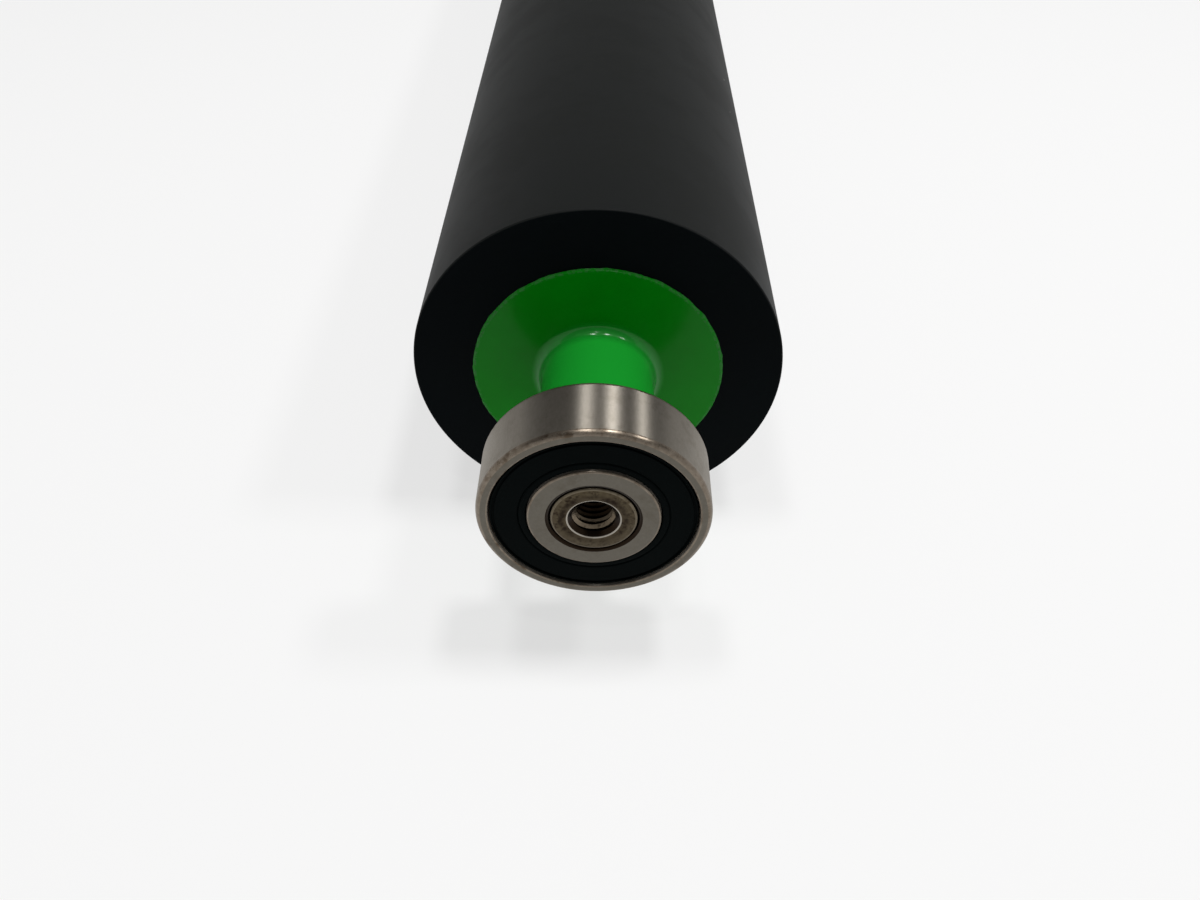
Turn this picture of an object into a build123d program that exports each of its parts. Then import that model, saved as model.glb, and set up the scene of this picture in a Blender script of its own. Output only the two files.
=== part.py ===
from build123d import *
from math import asin, pi, radians, tan
import os

# A form roller of a printing press: a rubber-covered steel core that turns in
# a sealed ball bearing at each end. The origin is at the middle of the roller
# on its axis, the axis lies along Y, the near end is at -Y, and +Z is up.
# All sizes are in millimetres.

# Covering and core
rubber_length = 520.0
rubber_diameter = 58.0
rubber_chamfer = 0.3
core_diameter = 39.0
tube_wall = 5.0
bond_gap = 0.02  # adhesive line between rubber and core, on the radius

# Journals, one pressed into each end of the tube
end_reach = 31.0  # from the rubber's end face to the shaft's end face
head_proud = 0.4  # how far the head stands out of the rubber
head_thickness = 6.0
head_chamfer = 0.2
spigot_length = 20.0
spigot_chamfer = 1.0
press_gap = 0.01  # left on the radius between pressed surfaces
neck_diameter = 17.5
neck_fillet = 1.8
neck_chamfer = 0.5
shaft_chamfer = 0.4

# Tapped hole in each shaft end
tapping_diameter = 5.0
tapped_depth = 16.0
countersink_diameter = 7.3
countersink_angle = 90.0
drill_point_angle = 118.0

# Ball bearing
bearing_bore = 12.0
bearing_diameter = 32.0
bearing_width = 10.0
ring_corner = 0.8
bore_chamfer = 0.6
ball_count = 7
ball_diameter = 5.953
race_gap = 0.05  # between a ball and the bottom of its groove
groove_conformity = 0.52  # groove radius over ball diameter
inner_shoulder = 1.15  # height of the inner ring's lands above its groove
outer_shoulder = 0.85  # height of the outer ring's lands above its groove
land_chamfer = 0.3

# Pressed ribbon cage
strip_thickness = 0.4
ribbon_width = 2.2
pocket_gap = 0.1
rivet_head_share = 0.6  # rivet head diameter over the flat between pockets
rivet_top_share = 0.35
rivet_shank_share = 0.35
rivet_head_height = 0.4
rivet_gap = 0.03

# Snap-in seals and the recess that holds each in the outer ring
recess_step = 1.2  # from the outer ring's land out to the recess wall
ledge_depth = 1.7  # from the ring's face in to the ledge under the seal
snap_bite = 0.25  # how far the snap lip stands in from the recess wall
snap_slope = 0.25
snap_flat = 0.5
seal_gap = 0.05  # round the seal's bead
seal_inset = 0.35  # seal face below the ring's face
cage_gap = 0.3  # between the cage's pockets and the seal
rim_width = 0.2
channel_width = 0.35
channel_depth = 0.3
lip_gap = 0.15  # between the seal's lip and the inner ring
lip_width = 0.85
lip_groove_width = 0.35
lip_groove_share = 0.23  # depth over the web's thickness

# Radii and places that follow from the sizes above
core_radius = core_diameter / 2
spigot_radius = core_radius - tube_wall - press_gap
neck_radius = neck_diameter / 2
seat_radius = bearing_bore / 2 - press_gap
rubber_end = rubber_length / 2
head_outside = rubber_end + head_proud
head_inside = head_outside - head_thickness
shaft_end = rubber_end + end_reach
bearing_middle = shaft_end - bearing_width / 2
shoulder = shaft_end - bearing_width

ball_radius = ball_diameter / 2
pitch_radius = (bearing_bore + bearing_diameter) / 4
groove_radius = groove_conformity * ball_diameter
inner_groove_bottom = pitch_radius - ball_radius - race_gap
outer_groove_bottom = pitch_radius + ball_radius + race_gap
inner_land = inner_groove_bottom + inner_shoulder
outer_land = outer_groove_bottom - outer_shoulder
half_width = bearing_width / 2

pocket_radius = ball_radius + pocket_gap
pocket_outside = pocket_radius + strip_thickness
ribbon_inner = pitch_radius - ribbon_width / 2
ribbon_outer = pitch_radius + ribbon_width / 2
pocket_half_angle = asin(pocket_outside / pitch_radius)
flat_width = 2 * pitch_radius * (pi / ball_count - pocket_half_angle)
rivet_head = rivet_head_share * flat_width / 2
rivet_top = rivet_top_share * flat_width / 2
rivet_shank = rivet_shank_share * flat_width / 2

recess_radius = outer_land + recess_step
snap_lip = recess_radius - snap_bite
ledge = half_width - ledge_depth
seal_face = half_width - seal_inset
seal_back = pocket_outside + cage_gap
lip_groove_depth = lip_groove_share * (seal_face - seal_back)
snap_top = ledge + snap_slope + snap_flat


def edge_at(piece, radius, y):
    """The ring-shaped edge of this radius at this place along the axis."""
    return piece.edges().sort_by_distance((0, y, radius))[0]


def cross_plane(y, outward=1):
    """The plane across the axis at y, facing outward along +Y or -Y."""
    return Plane(origin=(0, y, 0), x_dir=(1, 0, 0), z_dir=(0, outward, 0))


os.makedirs("parts", exist_ok=True)

# Steel tube, butted against the journals' heads at both ends
with BuildPart() as roller_tube:
    with BuildSketch(cross_plane(-head_inside)):
        Circle(core_radius)
        Circle(core_radius - tube_wall, mode=Mode.SUBTRACT)
    extrude(amount=2 * head_inside)
roller_tube.part.label = "roller_tube"
export_step(roller_tube.part, "parts/roller_tube.step")

# Rubber covering, ground on its outside and on both end faces
with BuildPart() as rubber_cover:
    with BuildSketch(cross_plane(-rubber_end)):
        Circle(rubber_diameter / 2)
        Circle(core_radius + bond_gap, mode=Mode.SUBTRACT)
    extrude(amount=rubber_length)
    for y in (-rubber_end, rubber_end):
        chamfer(edge_at(rubber_cover, rubber_diameter / 2, y), length=rubber_chamfer)
rubber_cover.part.label = "rubber_cover"
export_step(rubber_cover.part, "parts/rubber_cover.step")

for end, outward in (("near", -1), ("far", 1)):
    middle = outward * bearing_middle

    # Journal: spigot in the tube, head disc, neck, bearing seat and tapped hole
    with BuildPart() as journal:
        with BuildSketch() as journal_half:
            with BuildLine():
                Polyline(
                    (0, outward * (head_inside - spigot_length)),
                    (spigot_radius, outward * (head_inside - spigot_length)),
                    (spigot_radius, outward * head_inside),
                    (core_radius, outward * head_inside),
                    (core_radius, outward * head_outside),
                    (neck_radius, outward * head_outside),
                    (neck_radius, outward * shoulder),
                    (seat_radius, outward * shoulder),
                    (seat_radius, outward * shaft_end),
                    (0, outward * shaft_end),
                    close=True,
                )
            make_face()
        revolve(axis=Axis.Y)
        fillet(edge_at(journal, neck_radius, outward * head_outside), radius=neck_fillet)
        chamfer(edge_at(journal, core_radius, outward * head_outside), length=head_chamfer)
        chamfer(edge_at(journal, neck_radius, outward * shoulder), length=neck_chamfer)
        chamfer(edge_at(journal, seat_radius, outward * shaft_end), length=shaft_chamfer)
        spigot_edge = edge_at(journal, spigot_radius, outward * (head_inside - spigot_length))
        chamfer(spigot_edge, length=spigot_chamfer)
        with Locations(cross_plane(outward * shaft_end, outward)):
            CounterSinkHole(
                radius=tapping_diameter / 2,
                counter_sink_radius=countersink_diameter / 2,
                depth=tapped_depth,
                counter_sink_angle=countersink_angle,
            )
        point_length = tapping_diameter / 2 / tan(radians(drill_point_angle / 2))
        with Locations(cross_plane(outward * (shaft_end - tapped_depth), -outward)):
            Cone(
                bottom_radius=tapping_diameter / 2,
                top_radius=0,
                height=point_length,
                align=(Align.CENTER, Align.CENTER, Align.MIN),
                mode=Mode.SUBTRACT,
            )
    journal.part.label = f"{end}_journal"
    export_step(journal.part, f"parts/{end}_journal.step")

    # Inner ring, pressed on the seat against the neck's shoulder
    with BuildPart() as inner_ring:
        with BuildSketch() as inner_half:
            with Locations((bearing_bore / 2, middle)):
                Rectangle(
                    inner_land - bearing_bore / 2,
                    bearing_width,
                    align=(Align.MIN, Align.CENTER),
                )
            chamfer(inner_half.vertices().group_by(Axis.X)[0], length=bore_chamfer)
            chamfer(inner_half.vertices().group_by(Axis.X)[-1], length=land_chamfer)
            with Locations((inner_groove_bottom + groove_radius, middle)):
                Circle(groove_radius, mode=Mode.SUBTRACT)
        revolve(axis=Axis.Y)
    inner_ring.part.label = f"{end}_bearing_inner_ring"
    export_step(inner_ring.part, f"parts/{end}_bearing_inner_ring.step")

    # Outer ring: round corners outside, ball groove and two seal recesses inside
    with BuildPart() as outer_ring:
        with BuildSketch() as outer_half:
            with Locations((outer_land, middle)):
                Rectangle(
                    bearing_diameter / 2 - outer_land,
                    bearing_width,
                    align=(Align.MIN, Align.CENTER),
                )
            fillet(outer_half.vertices().group_by(Axis.X)[-1], radius=ring_corner)
            with Locations((outer_groove_bottom - groove_radius, middle)):
                Circle(groove_radius, mode=Mode.SUBTRACT)
            for way in (-1, 1):
                with BuildLine():
                    Polyline(
                        (outer_land - recess_step, middle + way * ledge),
                        (snap_lip, middle + way * ledge),
                        (recess_radius, middle + way * (ledge + snap_slope)),
                        (recess_radius, middle + way * snap_top),
                        (snap_lip, middle + way * (snap_top + snap_slope)),
                        (recess_radius, middle + way * (snap_top + 2 * snap_slope)),
                        (recess_radius, middle + way * bearing_width),
                        (outer_land - recess_step, middle + way * bearing_width),
                        close=True,
                    )
                make_face(mode=Mode.SUBTRACT)
        revolve(axis=Axis.Y)
    outer_ring.part.label = f"{end}_bearing_outer_ring"
    export_step(outer_ring.part, f"parts/{end}_bearing_outer_ring.step")

    # Balls, evenly spaced on the pitch circle
    with BuildPart(cross_plane(middle)) as balls:
        with PolarLocations(pitch_radius, ball_count):
            Sphere(ball_radius)
    balls.part.label = f"{end}_bearing_balls"
    export_step(balls.part, f"parts/{end}_bearing_balls.step")

    # Two halves of the ribbon cage meet on the bearing's middle plane, with a
    # round pocket over each ball and a riveted flat between pockets
    for half, facing in (("front", outward), ("rear", -outward)):
        cage_plane = cross_plane(middle, facing)
        with BuildPart(cage_plane) as cage:
            with BuildSketch(cage_plane):
                Circle(ribbon_outer)
                Circle(ribbon_inner, mode=Mode.SUBTRACT)
            extrude(amount=strip_thickness)
            with PolarLocations(pitch_radius, ball_count):
                Sphere(pocket_outside)
            with BuildSketch(cage_plane):
                Circle(ribbon_outer)
                Circle(ribbon_inner, mode=Mode.SUBTRACT)
            extrude(amount=pocket_outside, mode=Mode.INTERSECT)
            with PolarLocations(pitch_radius, ball_count):
                Sphere(pocket_radius, mode=Mode.SUBTRACT)
            with PolarLocations(pitch_radius, ball_count, start_angle=180 / ball_count):
                Cylinder(rivet_shank + rivet_gap, 3 * strip_thickness, mode=Mode.SUBTRACT)
        cage.part.label = f"{end}_bearing_cage_{half}"
        export_step(cage.part, f"parts/{end}_bearing_cage_{half}.step")

    # Rivets through the flats, with a tapered head on each side
    with BuildPart(cross_plane(middle)) as rivets:
        with PolarLocations(pitch_radius, ball_count, start_angle=180 / ball_count):
            Cylinder(rivet_shank, 2 * strip_thickness)
            top_seat = Location((0, 0, strip_thickness))
            bottom_seat = Location((0, 0, -strip_thickness), (180, 0, 0))
            with Locations(top_seat, bottom_seat):
                Cone(
                    bottom_radius=rivet_head,
                    top_radius=rivet_top,
                    height=rivet_head_height,
                    align=(Align.CENTER, Align.CENTER, Align.MIN),
                )
    rivets.part.label = f"{end}_bearing_cage_rivets"
    export_step(rivets.part, f"parts/{end}_bearing_cage_rivets.step")

    # Seals: a bead snapped into the outer ring, a thin web, and a lip that
    # runs just clear of the inner ring
    bead_lip = snap_lip - seal_gap
    bead = recess_radius - seal_gap
    rim = bead_lip - rim_width
    channel = rim - channel_width
    lip = inner_land + lip_gap
    for half, facing in (("front", outward), ("rear", -outward)):
        with BuildPart() as seal:
            with BuildSketch():
                with BuildLine():
                    Polyline(
                        (outer_land + seal_gap, middle + facing * ledge),
                        (bead_lip, middle + facing * ledge),
                        (bead, middle + facing * (ledge + snap_slope)),
                        (bead, middle + facing * snap_top),
                        (bead_lip, middle + facing * (snap_top + snap_slope)),
                        (bead_lip, middle + facing * seal_face),
                        (rim, middle + facing * seal_face),
                        (rim, middle + facing * (seal_face - channel_depth)),
                        (channel, middle + facing * (seal_face - channel_depth)),
                        (channel, middle + facing * seal_face),
                        (lip + lip_width + lip_groove_width, middle + facing * seal_face),
                        (
                            lip + lip_width + lip_groove_width / 2,
                            middle + facing * (seal_face - lip_groove_depth),
                        ),
                        (lip + lip_width, middle + facing * seal_face),
                        (lip, middle + facing * seal_face),
                        (lip, middle + facing * seal_back),
                        (outer_land + seal_gap, middle + facing * seal_back),
                        close=True,
                    )
                make_face()
            revolve(axis=Axis.Y)
        seal.part.label = f"{end}_bearing_seal_{half}"
        export_step(seal.part, f"parts/{end}_bearing_seal_{half}.step")
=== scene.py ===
import bmesh
import bpy
import math
from mathutils import Matrix, Vector, noise


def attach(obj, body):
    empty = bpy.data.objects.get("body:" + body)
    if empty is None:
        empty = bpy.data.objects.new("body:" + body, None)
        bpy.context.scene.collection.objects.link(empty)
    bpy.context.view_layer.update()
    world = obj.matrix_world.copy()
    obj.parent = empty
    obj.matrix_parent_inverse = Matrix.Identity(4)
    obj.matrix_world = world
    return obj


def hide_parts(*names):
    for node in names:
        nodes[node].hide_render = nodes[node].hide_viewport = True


# Rubber-covered form roller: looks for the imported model, in metres, axis along Y, near end at -Y
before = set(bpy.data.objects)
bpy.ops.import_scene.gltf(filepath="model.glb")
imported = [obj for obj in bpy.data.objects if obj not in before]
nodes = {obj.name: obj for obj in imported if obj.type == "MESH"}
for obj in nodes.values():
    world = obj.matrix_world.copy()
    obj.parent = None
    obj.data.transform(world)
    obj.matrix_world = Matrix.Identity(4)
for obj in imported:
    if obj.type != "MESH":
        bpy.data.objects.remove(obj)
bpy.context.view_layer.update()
mm = 0.001
print("frame loaded:", len(nodes), "nodes")


# small helpers for nodes

def addNode(tree, kind, inputs=None, **settings):
    node = tree.nodes.new(kind)
    for key, value in settings.items():
        setattr(node, key, value)
    for key, value in (inputs or {}).items():
        if isinstance(value, bpy.types.NodeSocket):
            tree.links.new(value, node.inputs[key])
        else:
            node.inputs[key].default_value = value
    return node


def doMath(tree, operation, *values, clamp=False):
    node = addNode(tree, "ShaderNodeMath", dict(enumerate(values)), operation=operation)
    node.use_clamp = clamp
    return node.outputs[0]


def mixColour(tree, factor, colourA, colourB, blend="MIX"):
    node = addNode(tree, "ShaderNodeMix", data_type="RGBA", blend_type=blend)
    for key, value in ((0, factor), (6, colourA), (7, colourB)):
        if isinstance(value, bpy.types.NodeSocket):
            tree.links.new(value, node.inputs[key])
        else:
            node.inputs[key].default_value = value
    return node.outputs[2]


def ramp(tree, value, low, high, toLow=0.0, toHigh=1.0):
    keys = {"Value": value, "From Min": low, "From Max": high, "To Min": toLow, "To Max": toHigh}
    return addNode(tree, "ShaderNodeMapRange", keys, interpolation_type="SMOOTHSTEP").outputs[0]


def newGroup(name, inputs, outputs):
    group = bpy.data.node_groups.new(name, "ShaderNodeTree")
    for label, default in inputs:
        socket = group.interface.new_socket(label, in_out="INPUT", socket_type="NodeSocketFloat")
        socket.default_value = default
    for label in outputs:
        group.interface.new_socket(label, in_out="OUTPUT", socket_type="NodeSocketFloat")
    return group, group.nodes.new("NodeGroupInput"), group.nodes.new("NodeGroupOutput")


def useGroup(tree, group, **inputs):
    node = tree.nodes.new("ShaderNodeGroup")
    node.node_tree = group
    for key, value in inputs.items():
        node.inputs[key].default_value = value
    return node


def axisRadius(tree, position):
    # distance from the roller's axis, which lies along Y
    flat = addNode(tree, "ShaderNodeVectorMath", {0: position, 1: (1, 0, 1)}, operation="MULTIPLY")
    return addNode(tree, "ShaderNodeVectorMath", {0: flat.outputs[0]}, operation="LENGTH").outputs["Value"]


# effects that several materials share

def makeTurningMarks():
    # fine marks that run round the axis, on cylinders and on flat faces alike
    group, source, result = newGroup(
        "turningMarks", [("Lines", 9000.0), ("Around", 60.0), ("Seed", 0.0)], ["Height", "Bands"])
    position = addNode(group, "ShaderNodeTexCoord").outputs["Object"]
    parts = addNode(group, "ShaderNodeSeparateXYZ", {0: position})
    radius = axisRadius(group, position)
    depth = doMath(group, "ADD", parts.outputs["Y"], doMath(group, "MULTIPLY", radius, 0.73))
    along = doMath(group, "ADD", doMath(group, "MULTIPLY", depth, source.outputs["Lines"]), source.outputs["Seed"])
    sideways = doMath(group, "MULTIPLY", parts.outputs["X"], source.outputs["Around"])
    upwards = doMath(group, "MULTIPLY", parts.outputs["Z"], source.outputs["Around"])
    place = addNode(group, "ShaderNodeCombineXYZ", {"X": sideways, "Y": along, "Z": upwards})
    fine = addNode(group, "ShaderNodeTexNoise", {"Vector": place.outputs[0], "Scale": 1.0, "Detail": 2.0})
    slower = addNode(group, "ShaderNodeVectorMath", {0: place.outputs[0], 1: (0.6, 0.12, 0.6)}, operation="MULTIPLY")
    broad = addNode(group, "ShaderNodeTexNoise", {"Vector": slower.outputs[0], "Scale": 1.0, "Detail": 2.0})
    group.links.new(fine.outputs["Fac"], result.inputs["Height"])
    group.links.new(broad.outputs["Fac"], result.inputs["Bands"])
    return group


def makeMottle():
    # uneven cloudy patches, as of staining or a handled surface
    group, source, result = newGroup(
        "mottle", [("Scale", 400.0), ("Low", 0.4), ("High", 0.6), ("Detail", 5.0)], ["Mask"])
    position = addNode(group, "ShaderNodeTexCoord").outputs["Object"]
    cloud = addNode(group, "ShaderNodeTexNoise", {
        "Vector": position, "Scale": source.outputs["Scale"], "Detail": source.outputs["Detail"], "Roughness": 0.62})
    mask = ramp(group, cloud.outputs["Fac"], source.outputs["Low"], source.outputs["High"])
    group.links.new(mask, result.inputs["Mask"])
    return group


def makeDust():
    # sparse pale specks, one in a few cells, each with its own size
    group, source, result = newGroup(
        "dust", [("Cells", 300.0), ("Share", 0.1), ("Size", 0.12)], ["Mask"])
    position = addNode(group, "ShaderNodeTexCoord").outputs["Object"]
    cells = addNode(group, "ShaderNodeTexVoronoi", {"Vector": position, "Scale": source.outputs["Cells"]})
    pick = addNode(group, "ShaderNodeSeparateXYZ", {0: cells.outputs["Color"]})
    chosen = doMath(group, "LESS_THAN", pick.outputs["X"], source.outputs["Share"])
    reach = doMath(group, "MULTIPLY", source.outputs["Size"], doMath(group, "ADD", pick.outputs["Y"], 0.3))
    spot = doMath(group, "LESS_THAN", cells.outputs["Distance"], reach)
    group.links.new(doMath(group, "MULTIPLY", chosen, spot), result.inputs["Mask"])
    return group


def makeRadiusBand():
    # 1 between two distances from the axis, with a soft edge on both sides
    group, source, result = newGroup(
        "radiusBand", [("Inner", 0.0), ("Outer", 0.01), ("Soft", 0.0002)], ["Mask"])
    position = addNode(group, "ShaderNodeTexCoord").outputs["Object"]
    radius = axisRadius(group, position)
    soft = source.outputs["Soft"]
    rising = doMath(group, "DIVIDE", doMath(group, "SUBTRACT", radius, source.outputs["Inner"]), soft, clamp=True)
    falling = doMath(group, "DIVIDE", doMath(group, "SUBTRACT", source.outputs["Outer"], radius), soft, clamp=True)
    group.links.new(doMath(group, "MULTIPLY", rising, falling), result.inputs["Mask"])
    return group


turningMarks = makeTurningMarks()
mottle = makeMottle()
dust = makeDust()
radiusBand = makeRadiusBand()


def newMaterial(name, **constants):
    material = bpy.data.materials.new(name)
    material.use_nodes = True
    tree = material.node_tree
    shader = tree.nodes["Principled BSDF"]
    for key, value in constants.items():
        shader.inputs[key.replace("_", " ")].default_value = value
    return material, tree, shader


def bumpFrom(tree, shader, height, strength, distance):
    bump = addNode(tree, "ShaderNodeBump", {"Height": height, "Strength": strength, "Distance": distance})
    tree.links.new(bump.outputs[0], shader.inputs["Normal"])


# materials

coverLooks = {
    "colour": (0.0042, 0.0052, 0.0051, 1),
    "worn": (0.0056, 0.0064, 0.0060, 1),
    "roughSpread": 0.02,
    "speck": (0.20, 0.19, 0.17, 1),
    # the end face's two colours: its own bluer ground tone, darkened further as painted shade for a face that gets
    # little light
    "shadedFaceColour": (0.0008, 0.0020, 0.0026, 1),
    "shadedFaceWorn": (0.0016, 0.0032, 0.0040, 1),
}


def makeRubber(name, colour, worn, roughness, gloss, speckShare, lines):
    material, tree, shader = newMaterial(name, Roughness=roughness, Specular_IOR_Level=gloss)
    marks = useGroup(tree, turningMarks, Lines=lines, Around=45.0)
    clouds = useGroup(tree, mottle, Scale=70.0, Low=0.35, High=0.7)
    specks = useGroup(tree, dust, Cells=330.0, Share=speckShare, Size=0.07)
    patchy = doMath(tree, "ADD", doMath(tree, "MULTIPLY", marks.outputs["Bands"], 0.25),
                    doMath(tree, "MULTIPLY", clouds.outputs["Mask"], 0.75))
    base = mixColour(tree, patchy, colour, worn)
    tree.links.new(mixColour(tree, specks.outputs["Mask"], base, coverLooks["speck"]), shader.inputs["Base Color"])
    spread = coverLooks["roughSpread"]
    tree.links.new(ramp(tree, clouds.outputs["Mask"], 0.0, 1.0, roughness - spread, roughness + spread),
                   shader.inputs["Roughness"])
    bumpFrom(tree, shader, marks.outputs["Height"], 0.15, 0.000005)
    return material


coverSide = makeRubber("coverSide", coverLooks["colour"], coverLooks["worn"], 0.6, 0.10, 0.05, 5200.0)
# the end face is a darker copy of the cover rubber: its ground finish, plus painted shade
coverFace = makeRubber("coverFace", coverLooks["shadedFaceColour"], coverLooks["shadedFaceWorn"], 0.7, 0.04, 0.02, 7000.0)


enamelLooks = {
    "colour": (0.0004, 0.250, 0.004, 1),
    "thin": (0.0006, 0.232, 0.003, 1),
    # neck: a milkier green on the neck and fillet, a painted reflection laid over the paint colour
    "neck": (0.0070, 0.250, 0.020, 1),
    "edge": (0.030, 0.225, 0.036, 1),
    "coatThick": 0.5,  # in the fillet and on the neck, where the paint gathers
    "coatThin": 0.13,
}


def makeEnamel():
    material, tree, shader = newMaterial("greenEnamel", Roughness=0.3, Coat_Roughness=0.12,
                                         Specular_IOR_Level=0.05)
    flow = useGroup(tree, mottle, Scale=160.0, Low=0.3, High=0.7, Detail=2.0)
    skin = useGroup(tree, mottle, Scale=620.0, Low=0.2, High=0.8, Detail=1.0)
    rim = useGroup(tree, radiusBand, Inner=19.1 * mm, Outer=20.0 * mm, Soft=0.12 * mm)
    chips = useGroup(tree, mottle, Scale=1900.0, Low=0.42, High=0.58, Detail=3.0)
    base = mixColour(tree, flow.outputs["Mask"], enamelLooks["colour"], enamelLooks["thin"])
    # a thicker coat where the paint gathers in the fillet and on the neck; the milkier neck colour there is painted
    # reflection
    gatherAndSheen = useGroup(tree, radiusBand, Inner=-1.0, Outer=10.6 * mm, Soft=1.2 * mm)
    base = mixColour(tree, gatherAndSheen.outputs["Mask"], base, enamelLooks["neck"])
    tree.links.new(ramp(tree, gatherAndSheen.outputs["Mask"], 0.0, 1.0, enamelLooks["coatThin"], enamelLooks["coatThick"]),
                   shader.inputs["Coat Weight"])
    ragged = doMath(tree, "MULTIPLY", rim.outputs["Mask"], chips.outputs["Mask"])
    tree.links.new(mixColour(tree, ragged, base, enamelLooks["edge"]), shader.inputs["Base Color"])
    bumpFrom(tree, shader, skin.outputs["Mask"], 0.12, 0.00008)
    return material


greenEnamel = makeEnamel()


steelLooks = {
    "ring": (0.270, 0.248, 0.215, 1),
    "ringDark": (0.215, 0.195, 0.165, 1),
    "ringStain": (0.11, 0.088, 0.062, 1),
    # face, faceDark, faceStain: the ring steel darkened for the flat faces, as painted shade
    "face": (0.140, 0.129, 0.108, 1),
    "faceDark": (0.115, 0.104, 0.085, 1),
    "faceStain": (0.075, 0.060, 0.042, 1),
    "corner": (0.25, 0.215, 0.175, 1),
    "cornerDark": (0.14, 0.112, 0.084, 1),
    "cornerStain": (0.07, 0.048, 0.030, 1),
    "shaft": (0.094, 0.076, 0.048, 1),
    "shaftDark": (0.052, 0.038, 0.021, 1),
    "shaftStain": (0.014, 0.008, 0.004, 1),
    "edge": (0.16, 0.135, 0.10, 1),
    "rim": (0.42, 0.39, 0.34, 1),
    # bore and the tone after it: near-black steel, painted shade inside the hole and in the gap round the shaft, with
    # some random variation
    "bore": (0.010, 0.0065, 0.004, 1),
    "boreShadeWorn": (0.020, 0.013, 0.008, 1),
    "crest": (0.24, 0.20, 0.15, 1),
    "crestDark": (0.10, 0.076, 0.048, 1),
}


def makeSteel(name, colours, roughness, lines, stainAmount, depth, streak=0.0, around=90.0, cloudSize=260.0,
              grime=None, holeShade=None):
    # grime: inner and outer radius of a dirty ring; the last argument gives where along the axis the metal turns dark,
    # painted shade deep in a hole
    light, dark, stainAndShade = colours
    material, tree, shader = newMaterial(name, Metallic=1.0, Roughness=roughness, Anisotropic=streak)
    if streak:
        along = addNode(tree, "ShaderNodeTangent", direction_type="UV_MAP", uv_map="profile")
        tree.links.new(along.outputs[0], shader.inputs["Tangent"])
    marks = useGroup(tree, turningMarks, Lines=lines, Around=around)
    clouds = useGroup(tree, mottle, Scale=cloudSize, Low=0.38, High=0.66)
    spots = useGroup(tree, mottle, Scale=cloudSize * 2.6, Low=0.42, High=0.62)
    body = mixColour(tree, marks.outputs["Bands"], light, dark)
    dirty = doMath(tree, "MULTIPLY", doMath(tree, "MULTIPLY", clouds.outputs["Mask"], spots.outputs["Mask"]), stainAmount)
    body = mixColour(tree, dirty, body, stainAndShade)
    if grime:
        ring = useGroup(tree, radiusBand, Inner=grime[0] * mm, Outer=grime[1] * mm, Soft=0.5 * mm)
        thick = doMath(tree, "MULTIPLY", ring.outputs["Mask"], ramp(tree, clouds.outputs["Mask"], 0.0, 1.0, 0.35, 0.9))
        body = mixColour(tree, thick, body, stainAndShade)
    # painted shade: the metal darkens deeper along the axis, into the hole
    if holeShade:
        place = addNode(tree, "ShaderNodeSeparateXYZ", {0: addNode(tree, "ShaderNodeTexCoord").outputs["Object"]})
        along = doMath(tree, "ABSOLUTE", place.outputs["Y"])
        body = mixColour(tree, ramp(tree, along, holeShade[0] * mm, holeShade[1] * mm), stainAndShade, body)
    tree.links.new(body, shader.inputs["Base Color"])
    tree.links.new(ramp(tree, marks.outputs["Height"], 0.2, 0.8, roughness - 0.07, roughness + 0.07),
                   shader.inputs["Roughness"])
    bumpFrom(tree, shader, marks.outputs["Height"], 0.6, depth)
    return material


def tones(*names):
    return [steelLooks[name] for name in names]


ringSteel = makeSteel("ringSteel", tones("ring", "ringDark", "ringStain"), 0.39, 9000.0, 0.3, 0.000010,
                      streak=1.0, around=6000.0)
# the flat faces use a darker copy of the ring steel: painted shade
ringFace = makeSteel("ringFace", tones("face", "faceDark", "faceStain"), 0.42, 9000.0, 0.3, 0.000003, around=4000.0)
ringCorner = makeSteel("ringCorner", tones("corner", "cornerDark", "cornerStain"), 0.32, 5000.0, 0.8, 0.000003,
                       streak=0.8, around=2500.0)
shaftSteel = makeSteel("shaftSteel", tones("shaft", "shaftDark", "shaftStain"), 0.4, 3000.0, 1.0, 0.000008,
                       around=2500.0, cloudSize=620.0, grime=(3.7, 5.0))
shaftEdge = makeSteel("shaftEdge", tones("edge", "shaft", "shaftDark"), 0.3, 5000.0, 0.8, 0.000004, cloudSize=500.0)
shaftRim = makeSteel("shaftRim", tones("rim", "ring", "cornerDark"), 0.3, 5000.0, 0.5, 0.000004)
# near-black steel for the hole and the bore chamfer: painted shade
boreShadeSteel = makeSteel("boreShadeSteel", tones("bore", "boreShadeWorn", "bore"), 0.25, 5000.0, 0.3, 0.000003)
# the thread darkens deeper into the hole: painted shade
threadSteel = makeSteel("threadSteel", tones("crest", "crestDark", "bore"), 0.24, 5000.0, 0.8, 0.000003,
                        cloudSize=900.0, holeShade=(287.6, 290.2))
tubeSteel = makeSteel("tubeSteel", tones("ring", "ringDark", "ringStain"), 0.4, 2500.0, 0.4, 0.00002)
ballSteel = makeSteel("ballSteel", tones("rim", "corner", "ring"), 0.12, 4000.0, 0.1, 0.000001)
cageSteel = makeSteel("cageSteel", tones("ring", "ringDark", "ringStain"), 0.34, 3000.0, 0.3, 0.000006)

sealLooks = {"colour": (0.0010, 0.0024, 0.0024, 1), "grey": (0.0020, 0.0036, 0.0036, 1)}


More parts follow.
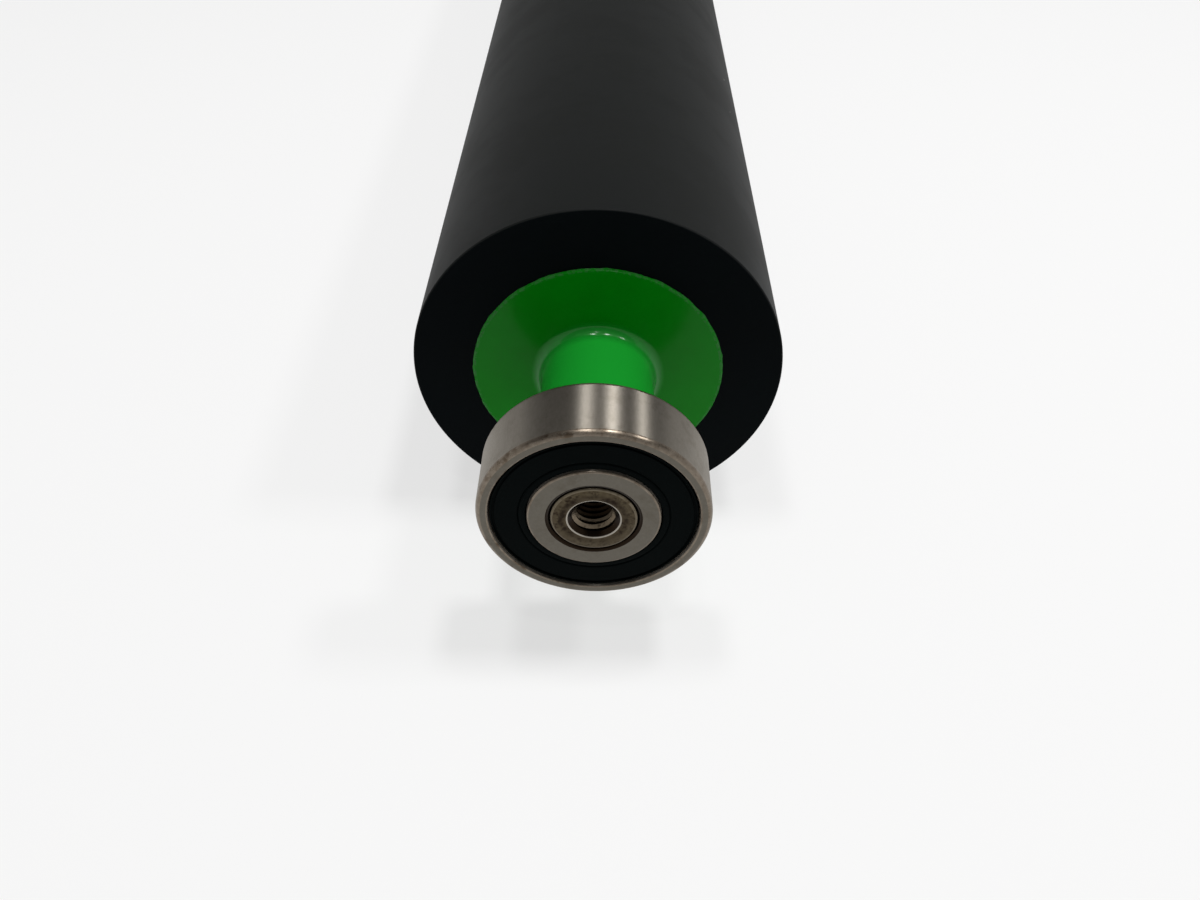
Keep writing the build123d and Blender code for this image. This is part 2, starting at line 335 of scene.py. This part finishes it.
def makeSealRubber():
    material, tree, shader = newMaterial("sealRubber", Roughness=0.5, Specular_IOR_Level=0.015)
    clouds = useGroup(tree, mottle, Scale=240.0, Low=0.3, High=0.7)
    grain = useGroup(tree, mottle, Scale=5200.0, Low=0.3, High=0.7, Detail=2.0)
    specks = useGroup(tree, dust, Cells=520.0, Share=0.03, Size=0.08)
    base = mixColour(tree, clouds.outputs["Mask"], sealLooks["colour"], sealLooks["grey"])
    tree.links.new(mixColour(tree, specks.outputs["Mask"], base, (0.12, 0.12, 0.11, 1)), shader.inputs["Base Color"])
    tree.links.new(ramp(tree, clouds.outputs["Mask"], 0.0, 1.0, 0.44, 0.56), shader.inputs["Roughness"])
    bumpFrom(tree, shader, grain.outputs["Mask"], 0.2, 0.00001)
    return material


sealRubber = makeSealRubber()
print("materials ready:", len(bpy.data.materials))


# turned pieces

def unwrap(bm):
    # u runs along the profile and v round the axis, so a satin finish has a direction
    layer = bm.loops.layers.uv.new("profile")
    for face in bm.faces:
        middle = face.calc_center_median()
        base = math.atan2(middle.x, middle.z)
        for loop in face.loops:
            place = loop.vert.co
            radius = math.hypot(place.x, place.z)
            turnBy = math.atan2(place.x, place.z) - base if radius > 1e-6 else 0.0
            turnBy = (turnBy + math.pi) % (2 * math.pi) - math.pi
            loop[layer].uv = (place.y * 20 + radius * 13, (base + turnBy) / math.pi)


def addArc(bm, first, second, centre, steps):
    # a round stretch of a profile, the short way from one point to the next
    middle = Vector((centre[1] * mm, centre[0] * mm, 0))
    start, stop = first.co - middle, second.co - middle
    sweep = math.atan2(stop.y, stop.x) - math.atan2(start.y, start.x)
    sweep = (sweep + math.pi) % (2 * math.pi) - math.pi
    bmesh.ops.spin(bm, geom=[first], cent=middle, axis=(0, 0, 1), angle=sweep, steps=steps)


def turn(name, outline, steps, corners=None, arcs=None, closed=True, body="roller",
         finishes=None, work=None):
    # outline: (distance along the axis from the middle, radius) in millimetres
    # corners: {point: (radius, segments)}, arcs: {point where it starts: (centre, segments)}
    # finishes: (material, test) pairs, where the test takes a face's distance along, its radius and its slope
    bm = bmesh.new()
    points = [bm.verts.new((radius * mm, along * mm, 0)) for along, radius in outline]
    for index, (first, second) in enumerate(zip(points, points[1:])):
        if index in (arcs or {}):
            addArc(bm, first, second, *arcs[index])
        else:
            bm.edges.new((first, second))
    if closed:
        bm.edges.new((points[-1], points[0]))
    for index, (size, segments) in (corners or {}).items():
        bmesh.ops.bevel(bm, geom=[points[index]], offset=size * mm, offset_type="OFFSET", segments=segments,
                        profile=0.5, affect="VERTICES", material=-1)
    bmesh.ops.spin(bm, geom=bm.verts[:] + bm.edges[:], cent=(0, 0, 0), axis=(0, 1, 0), angle=2 * math.pi,
                   steps=steps, use_merge=True)
    bmesh.ops.remove_doubles(bm, verts=bm.verts[:], dist=0.0005 * mm)
    bmesh.ops.recalc_face_normals(bm, faces=bm.faces[:])
    if work:
        work(bm)
    unwrap(bm)
    mesh = bpy.data.meshes.new(name)
    bm.to_mesh(mesh)
    bm.free()
    mesh.shade_smooth()
    mesh.set_sharp_from_angle(angle=math.radians(35))
    piece = bpy.data.objects.new(name, mesh)
    bpy.context.scene.collection.objects.link(piece)
    weighted = piece.modifiers.new("flatFaces", "WEIGHTED_NORMAL")
    weighted.keep_sharp = True
    for index, (material, test) in enumerate(finishes):
        mesh.materials.append(material)
        for face in mesh.polygons if index else ():
            radius = math.hypot(face.center.x, face.center.z)
            if test(abs(face.center.y) / mm, radius / mm, abs(face.normal.y)):
                face.material_index = index
    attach(piece, body)
    return piece


coverSize = {"end": 260.0, "radius": 29.0, "bore": 19.52, "rounding": 0.3, "steps": 256}


def makeCover():
    end, radius, bore = coverSize["end"], coverSize["radius"], coverSize["bore"]
    outline = [(-end, bore), (-end, radius), (end, radius), (end, bore)]
    soft = (coverSize["rounding"], 4)
    cover = turn("rubberCover", outline, coverSize["steps"], {1: soft, 2: soft},
                 finishes=[(coverSide, None), (coverFace, lambda along, radius, slope: slope > 0.9)])
    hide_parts("rubber_cover")


makeCover()
print("cover made")

journalSize = {
    "spigotEnd": 234.4, "spigot": 14.49, "headBack": 254.4, "head": 19.5, "headFront": 260.4, "neck": 8.75,
    "shoulder": 281.0, "seat": 5.99, "end": 291.0, "sink": 3.65, "tapping": 2.5, "root": 3.0,
    "holeEnd": 275.0, "paint": 0.12, "pitch": 1.0, "steps": 160, "edgeSteps": 360, "wave": 7.0, "ragged": 0.09,
}


def raggedLip(bm, way):
    # the paint runs out unevenly where the head meets the rubber
    s = journalSize
    for vert in bm.verts:
        radius = math.hypot(vert.co.x, vert.co.z)
        past = radius / mm - s["head"] + 0.04
        if past <= 0:
            continue
        spot = vert.co / radius
        wander = noise.noise(spot * s["wave"] + Vector((0, way * 7, 0))) + 0.7 * noise.noise(spot * s["wave"] * 4.3)
        chip = max(0.0, noise.noise(spot * s["wave"] * 1.7 + Vector((5, 0, way))) - 0.15)
        grow = 1 + (s["ragged"] * wander + 2.2 * s["ragged"] * chip) * min(past / 0.12, 1) * mm / radius
        vert.co.x *= grow
        vert.co.z *= grow


def makeJournal(end, way):
    s = journalSize
    skin = s["paint"]
    point = s["tapping"] / math.tan(math.radians(59))
    outline = [
        (s["spigotEnd"], 0), (s["spigotEnd"], s["spigot"]), (s["headBack"], s["spigot"]), (s["headBack"], s["head"]),
        (s["headFront"] - skin, s["head"]), (s["headFront"] - skin, s["neck"] - skin),
        (s["shoulder"], s["neck"] - skin), (s["shoulder"], s["seat"]), (s["end"], s["seat"]), (s["end"], s["sink"]),
        (s["end"] - s["sink"] + s["root"], s["root"]), (s["holeEnd"] + 1.2, s["root"]), (s["holeEnd"] + 0.9, s["tapping"]),
        (s["holeEnd"], s["tapping"]), (s["holeEnd"] - point, 0),
    ]
    corners = {1: (1.0, 1), 4: (0.15, 2), 5: (1.8 + skin, 10), 6: (0.4, 2), 8: (0.4, 4), 9: (0.12, 3)}
    tip = s["end"]
    journal = turn(end + "Journal", [(way * along, radius) for along, radius in outline], s["steps"], corners, closed=False,
                   finishes=[(shaftSteel, None),
                             # the hole's walls take the near-black steel: painted shade inside the hole
                             (boreShadeSteel, lambda along, radius, slope: along < tip - 0.07 and radius < s["sink"] and along > 270),
                             (shaftRim, lambda along, radius, slope: along > tip - 0.3 and s["sink"] - 0.07 < radius < 4.5
                              and slope < 0.99),
                             (shaftEdge, lambda along, radius, slope: along > tip - 0.5 and radius > 5 and slope < 0.99)])
    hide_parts(end + "_journal")

    # enamel skin over the neck, the fillet and the head's front, ending in a ragged lip on the rubber
    skinLine = [
        (s["headFront"] - 0.38, s["head"] + 0.10), (s["headFront"] - 0.33, s["head"] + 0.13),
        (s["headFront"] - 0.22, s["head"]), (s["headFront"], s["head"]), (s["headFront"], s["neck"]),
        (s["shoulder"] - 0.1, s["neck"]), (s["shoulder"] - 0.1, s["neck"] - skin - 0.02),
        (s["headFront"] - skin - 0.02, s["neck"] - skin - 0.02), (s["headFront"] - skin - 0.02, s["head"] - 0.15),
    ]
    corners = {3: (0.16, 5), 4: (1.8, 14), 5: (0.05, 2), 7: (1.9, 14)}
    enamel = turn(end + "HeadEnamel", [(way * along, radius) for along, radius in skinLine], s["edgeSteps"], corners,
                  finishes=[(greenEnamel, None)], work=lambda bm: raggedLip(bm, way))
    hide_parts(end + "_journal")


def makeThread(end, way):
    # a helical ridge from the countersink down into the hole
    s = journalSize
    bm = bmesh.new()
    start = way * (s["end"] - 0.75)
    pitch = s["pitch"]
    half, crest = 0.44 * pitch, 0.07 * pitch
    profile = [(half, s["root"] + 0.03), (crest, s["tapping"] + 0.02), (-crest, s["tapping"] + 0.02), (-half, s["root"] + 0.03)]
    corners = [bm.verts.new((radius * mm, start * mm + along * mm, 0)) for along, radius in profile]
    bm.faces.new(corners)
    turns = 13.5
    steps = int(turns * 48)
    bmesh.ops.spin(bm, geom=bm.faces[:] + bm.edges[:] + bm.verts[:], cent=(0, 0, 0), axis=(0, way, 0),
                   dvec=(0, -way * pitch * mm / 48, 0), angle=2 * math.pi * turns, steps=steps)
    for vert in bm.verts:
        # the countersink cuts the first turns away
        radius = math.hypot(vert.co.x, vert.co.z)
        cone = (s["sink"] + 0.02) * mm - (s["end"] * mm - abs(vert.co.y))
        if radius < cone:
            vert.co.x *= cone / radius
            vert.co.z *= cone / radius
    bmesh.ops.recalc_face_normals(bm, faces=bm.faces[:])
    mesh = bpy.data.meshes.new(end + "Thread")
    bm.to_mesh(mesh)
    bm.free()
    thread = bpy.data.objects.new(end + "Thread", mesh)
    bpy.context.scene.collection.objects.link(thread)
    mesh.materials.append(threadSteel)
    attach(thread, "roller")


# bearing

bearingSize = {
    "middle": 286.0, "half": 5.0, "bore": 6.0, "outside": 16.0,
    "innerLand": 9.1235, "innerGroove": 7.9735, "grooveRadius": 3.0956, "outerLand": 13.1765, "outerGroove": 14.0265,
    "recess": 14.3765, "lip": 14.1265, "ledge": 3.3, "rimEdge": 0.8, "boreEdge": 0.6, "landEdge": 0.3,
    "arcSteps": 16, "steps": 192,
}


def makeRings(end, way):
    s = bearingSize
    m = way * s["middle"]
    half = s["half"]
    grooveRadius, arcSteps = s["grooveRadius"], s["arcSteps"]
    centre = s["innerGroove"] + grooveRadius
    reach = math.sqrt(grooveRadius ** 2 - (centre - s["innerLand"]) ** 2)
    innerLine = [
        (m - half, s["bore"]), (m + half, s["bore"]), (m + half, s["innerLand"]), (m + reach, s["innerLand"]),
        (m - reach, s["innerLand"]), (m - half, s["innerLand"]),
    ]
    boreEdge, landEdge = (s["boreEdge"], 3), (s["landEdge"], 4)
    inner = turn(end + "InnerRing", innerLine, s["steps"], {0: boreEdge, 1: boreEdge, 2: landEdge, 5: landEdge},
                 {3: ((m, centre), arcSteps)},
                 finishes=[(ringSteel, None), (ringFace, lambda along, radius, slope: slope > 0.985),
                           (ringCorner, lambda along, radius, slope: radius > 8 and 0.05 < slope < 0.985),
                           # the bore chamfer takes the near-black steel: painted shade in the gap round the shaft
                           (boreShadeSteel, lambda along, radius, slope: radius < 6.7 and slope < 0.985)])
    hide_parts(end + "_bearing_inner_ring")

    ledge, recess, lip = s["ledge"], s["recess"], s["lip"]
    centre = s["outerGroove"] - grooveRadius
    reach = math.sqrt(grooveRadius ** 2 - (s["outerLand"] - centre) ** 2)
    halfLine = [
        (s["half"], 14.5), (half - 0.12, recess), (ledge + 1.0, recess), (ledge + 0.75, lip), (ledge + 0.6, recess),
        (ledge + 0.25, recess), (ledge, lip), (ledge, s["outerLand"]), (reach, s["outerLand"]),
    ]
    other = [(-along, radius) for along, radius in reversed(halfLine)]
    outline = [(m + along, radius) for along, radius in [(half, s["outside"])] + halfLine + other + [(-half, s["outside"])]]
    last = len(outline) - 1
    rimEdge, innerEdge = (s["rimEdge"], 8), (0.08, 2)
    outer = turn(end + "OuterRing", outline, s["steps"], {0: rimEdge, 1: innerEdge, last - 1: innerEdge, last: rimEdge},
                 {len(halfLine): ((m, centre), arcSteps)}, body=end + "_ring",
                 finishes=[(ringSteel, None), (ringFace, lambda along, radius, slope: slope > 0.985),
                           (ringCorner, lambda along, radius, slope: radius > 14.2 and 0.05 < slope < 0.985)])
    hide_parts(end + "_bearing_outer_ring")


sealSize = {"face": 4.65, "back": 3.7765, "bead": 14.3265, "beadLip": 14.0765, "rim": 13.8765, "channel": 13.5265,
            "lip": 9.2735, "lipWidth": 0.85, "grooveWidth": 0.35, "grooveDepth": 0.2}


def makeSealPiece(end, way, side, facing):
    s = sealSize
    ledge = bearingSize["ledge"]
    crease = s["lip"] + s["lipWidth"]
    line = [
        (ledge, 13.23), (ledge, s["beadLip"]), (ledge + 0.25, s["bead"]), (ledge + 0.6, s["bead"]),
        (ledge + 0.85, s["beadLip"]), (s["face"], s["beadLip"]), (s["face"], s["rim"]), (s["face"] - 0.3, s["rim"]),
        (s["face"] - 0.3, s["channel"]), (s["face"], s["channel"]), (s["face"], crease + s["grooveWidth"]),
        (s["face"] - s["grooveDepth"], crease + s["grooveWidth"] / 2), (s["face"], crease), (s["face"], s["lip"]),
        (s["back"], s["lip"]), (s["back"], 13.23),
    ]
    m = way * bearingSize["middle"]
    corners = {5: (0.04, 2), 6: (0.06, 3), 7: (0.06, 2), 8: (0.06, 2), 9: (0.1, 3), 10: (0.05, 2), 12: (0.05, 2), 13: (0.15, 4)}
    seal = turn(end + "Seal" + side, [(m + facing * along, radius) for along, radius in line], bearingSize["steps"],
                corners, body=end + "_ring", finishes=[(sealRubber, None)])
    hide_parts(end + "_bearing_seal_" + side.lower())


for end, way in (("near", -1), ("far", 1)):
    makeJournal(end, way)
    makeThread(end, way)
    makeRings(end, way)
    makeSealPiece(end, way, "Front", way)
    makeSealPiece(end, way, "Rear", -way)
    for part, material in (("balls", ballSteel), ("cage_front", cageSteel), ("cage_rear", cageSteel),
                           ("cage_rivets", cageSteel)):
        node = nodes[end + "_bearing_" + part]
        for place in node.material_slots:
            place.material = material
    print(end, "end made")
for place in nodes["roller_tube"].material_slots:
    place.material = tubeSteel


# floor, light and camera

floorLooks = {"colour": (0.90, 0.90, 0.90, 1), "glow": 0.93, "share": 0.7, "height": -29.2 * mm,
              "flat": 3.0, "bend": 1.2, "wall": 0.9, "bendSteps": 12, "steps": 96}


def makeFloor():
    # a pale floor that curves up into a low wall all round
    s = floorLooks
    bm = bmesh.new()
    corner = (s["flat"] + s["bend"], s["height"])
    line = [(0, s["height"]), corner, (corner[0], s["height"] + s["bend"] + s["wall"])]
    points = [bm.verts.new((radius, 0, up)) for radius, up in line]
    for first, second in zip(points, points[1:]):
        bm.edges.new((first, second))
    bmesh.ops.bevel(bm, geom=[points[1]], offset=s["bend"], offset_type="OFFSET", segments=s["bendSteps"], profile=0.5,
                    affect="VERTICES", material=-1)
    bmesh.ops.spin(bm, geom=bm.verts[:] + bm.edges[:], cent=(0, 0, 0), axis=(0, 0, 1), angle=2 * math.pi,
                   steps=s["steps"], use_merge=True)
    bmesh.ops.remove_doubles(bm, verts=bm.verts[:], dist=0.01 * mm)
    bmesh.ops.recalc_face_normals(bm, faces=bm.faces[:])
    mesh = bpy.data.meshes.new("floor")
    bm.to_mesh(mesh)
    bm.free()
    mesh.shade_smooth()
    floor = bpy.data.objects.new("floor", mesh)
    bpy.context.scene.collection.objects.link(floor)
    material, tree, shader = newMaterial("floorPale", Roughness=0.9)
    shader.inputs["Specular IOR Level"].default_value = 0.0
    shader.inputs["Base Color"].default_value = floorLooks["colour"]
    rays = addNode(tree, "ShaderNodeLightPath")
    seen = doMath(tree, "MAXIMUM", rays.outputs["Is Camera Ray"], rays.outputs["Is Glossy Ray"])
    seen = doMath(tree, "MAXIMUM", seen, rays.outputs["Is Transmission Ray"])
    glow = addNode(tree, "ShaderNodeEmission", {"Color": (1, 1, 1, 1), "Strength": floorLooks["glow"]})
    share = doMath(tree, "MULTIPLY", seen, floorLooks["share"])
    both = addNode(tree, "ShaderNodeMixShader", {0: share, 1: shader.outputs[0], 2: glow.outputs[0]})
    tree.links.new(both.outputs[0], tree.nodes["Material Output"].inputs["Surface"])
    mesh.materials.append(material)


makeFloor()

lamps = {
    # name: (place, size, power)
    "lampLeft": ((-0.14, -0.20, 0.90), (0.15, 0.11), 2.3),
    "lampMiddle": ((0.21, -0.20, 0.90), (0.15, 0.11), 3.6),
    "lampRight": ((0.66, -0.20, 0.84), (0.15, 0.11), 2.9),
    "lampFront": ((-0.06, -0.56, 0.95), (0.05, 0.05), 0.5),
    "softPanel": ((0.0, -0.35, 1.5), (2.4, 1.6), 1.5),
}


def makeLamp(name, place, size, power):
    lamp = bpy.data.lights.new(name, "AREA")
    lamp.shape = "RECTANGLE"
    lamp.size, lamp.size_y = size
    lamp.energy = power
    holder = bpy.data.objects.new(name, lamp)
    holder.location = place
    aim = Vector((0, -0.25, 0)) - Vector(place)
    holder.rotation_euler = aim.to_track_quat("-Z", "Y").to_euler()
    bpy.context.scene.collection.objects.link(holder)


for name, (place, size, power) in lamps.items():
    makeLamp(name, place, size, power)

world = bpy.data.worlds.new("studio")
world.use_nodes = True
world.node_tree.nodes["Background"].inputs["Color"].default_value = (1, 0.985, 0.965, 1)
world.node_tree.nodes["Background"].inputs["Strength"].default_value = 0.15
bpy.context.scene.world = world

cameraSet = {"place": (0.00048, -0.37627, 0.09464), "pitch": -43.74, "yaw": -0.08, "roll": -1.41, "lens": 28.335}


def makeCamera():
    lens = bpy.data.cameras.new("camera")
    lens.lens = cameraSet["lens"]
    lens.sensor_width = 36
    lens.sensor_fit = "HORIZONTAL"
    lens.clip_start = 0.005
    lens.clip_end = 30
    camera = bpy.data.objects.new("camera", lens)
    yaw = Matrix.Rotation(math.radians(cameraSet["yaw"]), 4, "Z")
    pitch = Matrix.Rotation(math.radians(cameraSet["pitch"]), 4, "X")
    roll = Matrix.Rotation(math.radians(cameraSet["roll"]), 4, "Y")
    stand = Matrix.Rotation(math.radians(90), 4, "X")  # the lens looks along -Z, the roller lies along Y
    camera.matrix_world = Matrix.Translation(cameraSet["place"]) @ yaw @ pitch @ roll @ stand
    bpy.context.scene.collection.objects.link(camera)
    bpy.context.scene.camera = camera


makeCamera()
bpy.context.scene.view_settings.view_transform = "Standard"
print("stage ready")
